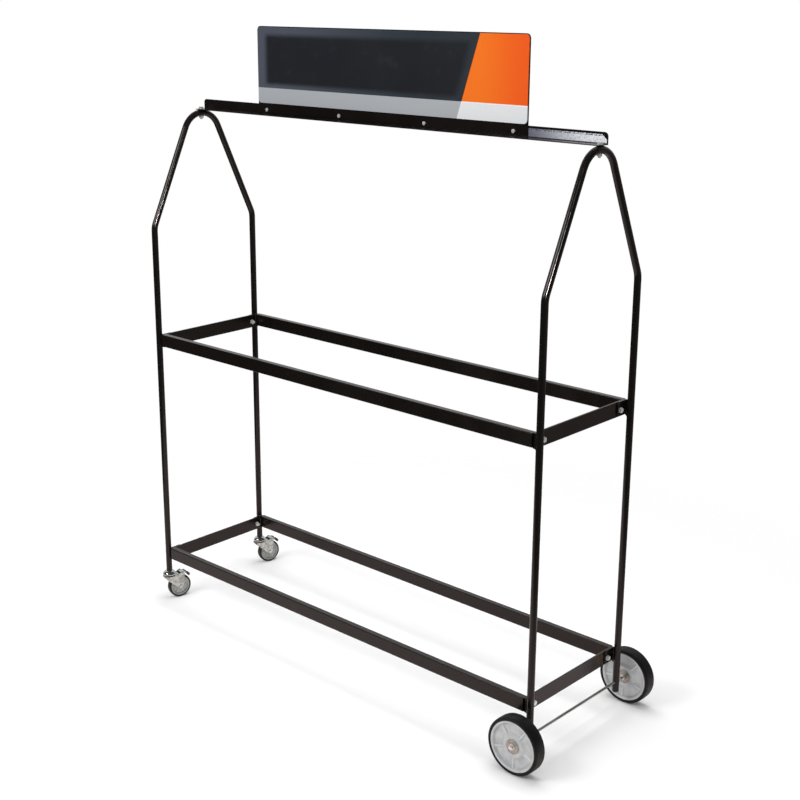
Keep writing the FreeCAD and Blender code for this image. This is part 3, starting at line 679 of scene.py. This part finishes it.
def caster_tread():
    """Rubber of the caster wheel."""
    half = [(42.0, -12.5), (43.2, -13.8), (46.0, -14.0), (48.8, -12.2), (49.8, -8.0), (50.0, 0.0)]
    outline = half + [(r, -z) for r, z in reversed(half[:-1])]
    return placed(lathe(rounded(outline, 1.2), 96), across(TRAIL, CASTER_R))


def brake_lever():
    """Curved lever with the barrel at its pivot and the pad that meets the tread."""
    outline = [(45, 113.6), (61, 114.4), (70, 110.4), (78, 103.4), (84, 95), (81.6, 93.4), (75.8, 101.4),
               (68.4, 107.8), (60, 111.6), (45, 110.8)]
    plate = strip(rounded(outline, 1.5), lambda x: 13.8 + 3.0 * smooth_step(x, 63, 69))
    wall = rounded([(2.6, -14.5), (5.5, -14.5), (5.5, 14.5), (2.6, 14.5)], 0.8)
    barrel = placed(lathe(wall, 36), across(*PIVOT))
    pad = strip(rounded([(55.6, -5), (67.5, -5), (67.5, 5), (55.6, 5)], 1.5), lambda x: 11.0)
    tilt = Matrix.Translation((TRAIL, 0, CASTER_R)) @ Matrix.Rotation(math.radians(-46), 4, "Y")
    return joined([plate, barrel, placed(pad, tilt)])


def lever_grip():
    """Plastic cap over the lever's free end."""
    outline = [(71.5, 112.2), (80.4, 104.8), (87, 95.4), (80.2, 90.4), (74.4, 98.6), (71.5, 101.6)]
    return strip(rounded(outline, 2.2, 5), lambda x: 18.6)


def caster(name):
    """All shown pieces of one caster, each on its own body."""
    place = caster_place(name)
    swivel, wheel, brake = name + "_swivel", name + "_wheel", name + "_brake"
    axle_heads = placed(domed_rivet(7.0, 3.0), Matrix.Translation((TRAIL, 0, CASTER_R)))
    pin_heads = placed(domed_rivet(4.2, 1.8), Matrix.Translation((PIVOT[0], 0, PIVOT[1])))
    fork = joined([crown(), fork_arm(-1), fork_arm(1)])
    for node, word, shape, finish, body, edge in (
            ("stem", "cup", swivel_head(), "chrome", "frame", 0.0),
            ("fork", "pressing", fork, "pressing", swivel, 0.0005),
            ("axle", "rivet", axle_heads, "chrome", swivel, 0.0),
            ("brake_pin", "rivet", pin_heads, "chrome", swivel, 0.0),
            ("wheel_core", "disc", wheel_disc(), "disc", wheel, 0.0),
            ("tread", "rubber", caster_tread(), "tread", wheel, 0.0),
            ("brake_pedal", "pressing", brake_lever(), "pressing", brake, 0.0004),
            ("pedal_grip", "cap", lever_grip(), "black_plastic", brake, 0.0008)):
        cad = "%s_%s" % (name, node)
        piece("%s_%s" % (cad, word), placed(shape, place), finish, body, [cad], edge)


# ---- weld beads --------------------------------------------------------------------
def bead(start, end, rng):
    """Lumpy run of weld between two points."""
    start, end = Vector(start), Vector(end)
    along = (end - start).normalized()
    turn = along.to_track_quat("Z", "Y").to_matrix()
    count = max(4, round((end - start).length / BEAD_STEP))
    sides = 10
    vertices, faces = [], []
    for ring in range(count + 1):
        share = ring / count
        ends = min(1.0, 6.0 * min(share, 1 - share) + 0.15)
        ripple = 0.86 + 0.14 * math.cos(2 * math.pi * ring / 3)
        radius = BEAD_R * math.sqrt(ends) * ripple * rng.uniform(0.94, 1.06)
        for side in range(sides):
            angle = 2 * math.pi * side / sides
            offset = Vector((radius * math.cos(angle), radius * math.sin(angle), 0))
            vertices.append(start + (end - start) * share + turn @ offset)
    for ring in range(count):
        for side in range(sides):
            nxt = (side + 1) % sides
            here, there = ring * sides, (ring + 1) * sides
            faces.append((here + side, here + nxt, there + nxt, there + side))
    faces += [tuple(range(sides)), tuple(range(count * sides, (count + 1) * sides))]
    return vertices, faces


def weld_beads():
    """Beads at the rail ends and where each bracket meets its leg."""
    rng = random.Random(7)
    for tier in ("lower", "upper"):
        beads = []
        for word, end in (("front", -1), ("back", 1)):
            low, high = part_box("%s_%s_rail" % (tier, word))
            inner_y = low.y if end > 0 else high.y
            for x in (low.x, high.x):
                inward = 1 if x < MIDDLE_X else -1
                at = x + inward * 0.0006
                beads.append(bead((at, inner_y, low.z + 0.004), (at, inner_y, high.z - 0.004), rng))
        piece(tier + "_rail_welds", joined(beads), "weld", "frame")
    for side, word in ((-1, "left"), (1, "right")):
        beads = []
        for tier in ("lower", "upper"):
            low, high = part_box("%s_%s_cross_bar" % (tier, word))
            for end in (-1, 1):
                x = MIDDLE_X + side * (LEG_X - TUBE_R - 0.0004)
                y = end * (LEG_Y - 0.0045)
                beads.append(bead((x, y, low.z + 0.006), (x, y, high.z - 0.008), rng))
        piece(word + "_bracket_welds", joined(beads), "weld", "frame")


for wheel_name in ("front_wheel", "back_wheel"):
    big_wheel(wheel_name)
hub_washers()
for caster_name in ("front_caster", "back_caster"):
    caster(caster_name)
weld_beads()


# ---- floor, light and camera ----------------------------------------------------
def floor():
    """Pale round floor that fades out behind the rack and looks a little warmer in reflections."""
    place = (MIDDLE_X, 0, -0.0004)
    bpy.ops.mesh.primitive_circle_add(vertices=96, radius=9.0, fill_type="NGON", location=place)
    disc = bpy.context.object
    disc.name = "floor"
    s = Shader("floor_paper")
    radius = s.add("ShaderNodeVectorMath", operation="LENGTH")
    s.join(s.place, radius.inputs[0])
    fade = s.band(radius.outputs["Value"], 1.45, 2.6)
    clear = s.add("ShaderNodeBsdfTransparent")
    blend = s.add("ShaderNodeMixShader")
    s.join(fade, blend.inputs[0])
    s.join(s.surface.outputs[0], blend.inputs[1])
    s.join(clear.outputs[0], blend.inputs[2])
    output = next(n for n in s.tree.nodes if n.type == "OUTPUT_MATERIAL")
    s.join(blend.outputs[0], output.inputs["Surface"])
    paper = s.mix(s.noise(2.0, 2.0), (0.95, 0.95, 0.95), (0.97, 0.97, 0.97))
    mirrored = s.add("ShaderNodeLightPath").outputs["Is Glossy Ray"]
    paper = s.mix(mirrored, paper, (0.93, 0.84, 0.82))
    s.finish(Base_Color=paper, Roughness=0.9, Specular_IOR_Level=0.0)
    disc.data.materials.append(s.material)


def studio_world():
    """White to the eye, soft for lighting, and a dark room with a pale wall in reflections."""
    world = bpy.data.worlds.new("studio")
    world.use_nodes = True
    tree = world.node_tree
    tree.nodes.clear()

    def add(kind, **settings):
        node = tree.nodes.new(kind)
        for key, value in settings.items():
            setattr(node, key, value)
        return node

    def emitter(colour, strength):
        node = add("ShaderNodeBackground")
        node.inputs["Color"].default_value = (*colour, 1.0)
        node.inputs["Strength"].default_value = strength
        return node.outputs[0]

    def blend(share, first, second):
        node = add("ShaderNodeMixShader")
        tree.links.new(share, node.inputs[0])
        tree.links.new(first, node.inputs[1])
        tree.links.new(second, node.inputs[2])
        return node.outputs[0]

    def step(value, low, high):
        node = add("ShaderNodeMapRange", interpolation_type="SMOOTHSTEP")
        tree.links.new(value, node.inputs[0])
        node.inputs[1].default_value = low
        node.inputs[2].default_value = high
        return node.outputs[0]

    rays = add("ShaderNodeLightPath")
    ray = add("ShaderNodeTexCoord").outputs["Generated"]

    def towards(direction, low, high):
        node = add("ShaderNodeVectorMath", operation="DOT_PRODUCT")
        tree.links.new(ray, node.inputs[0])
        node.inputs[1].default_value = direction
        return step(node.outputs["Value"], low, high)

    dim = emitter((1.0, 0.92, 0.86), 0.04)
    wall = blend(towards((-0.68, 0.73, 0.0), 0.10, 0.75), dim, emitter((1.0, 1.0, 1.0), 0.85))
    low_side = blend(towards((0.70, 0.71, 0.0), -0.1, 0.9), dim, emitter((1.0, 0.84, 0.78), 0.26))
    room = blend(towards((0.0, 0.0, 1.0), -0.06, 0.10), low_side, wall)
    soft = emitter((1.0, 1.0, 1.0), 0.60)
    lit = blend(rays.outputs["Is Glossy Ray"], soft, room)
    final = blend(rays.outputs["Is Camera Ray"], lit, emitter((1.0, 1.0, 1.0), 1.0))
    tree.links.new(final, add("ShaderNodeOutputWorld").inputs["Surface"])
    bpy.context.scene.world = world


def softbox(name, place, target, width, height, power, mirrored=True, only=()):
    """Soft lamp; mirrored=False hides it from reflections, and only names the nodes that alone mirror it."""
    data = bpy.data.lights.new(name, "AREA")
    data.shape = "RECTANGLE"
    data.size = width
    data.size_y = height
    data.energy = power
    lamp = bpy.data.objects.new(name, data)
    bpy.context.scene.collection.objects.link(lamp)
    lamp.visible_glossy = mirrored
    if only:
        lamp.visible_diffuse = False
        reached = bpy.data.collections.new(name + "_reaches")
        for node in only:
            reached.objects.link(frame["nodes"][node])
        lamp.light_linking.receiver_collection = reached
    lamp.location = place
    lamp.rotation_euler = (Vector(target) - Vector(place)).to_track_quat("-Z", "Y").to_euler()


def photo_camera():
    """Camera at the photograph's viewing angle."""
    data = bpy.data.cameras.new("photo_camera")
    data.sensor_width = 36.0
    data.lens = CAMERA_LENS
    data.shift_x, data.shift_y = CAMERA_SHIFT
    data.clip_end = 60.0
    camera = bpy.data.objects.new("photo_camera", data)
    bpy.context.scene.collection.objects.link(camera)
    heading, tilt, roll = (math.radians(angle) for angle in CAMERA_TURN)
    turn = Matrix.Rotation(heading, 4, "Z") @ Matrix.Rotation(tilt, 4, "X") @ Matrix.Rotation(roll, 4, "Z")
    place = Vector((MIDDLE_X, 0, RIGHT_TUBE[1].z)) + Vector(CAMERA_OFFSET)
    camera.matrix_world = Matrix.Translation(place) @ turn
    bpy.context.scene.camera = camera


floor()
studio_world()
softbox("key", (-1.2, -4.4, 4.0), (0, 0, 1.2), 2.6, 1.8, 136.0)
softbox("overhead", (0.0, 0.6, 4.6), (0, 0, 0.8), 3.4, 2.2, 100.0, mirrored=False)
softbox("strip", (3.67, -3.05, 3.30), (0.9, -0.25, 1.8), 0.30, 0.90, 330.0,
        only=("left_end_frame", "right_end_frame"))
photo_camera()
bpy.context.scene.view_settings.view_transform = "Standard"
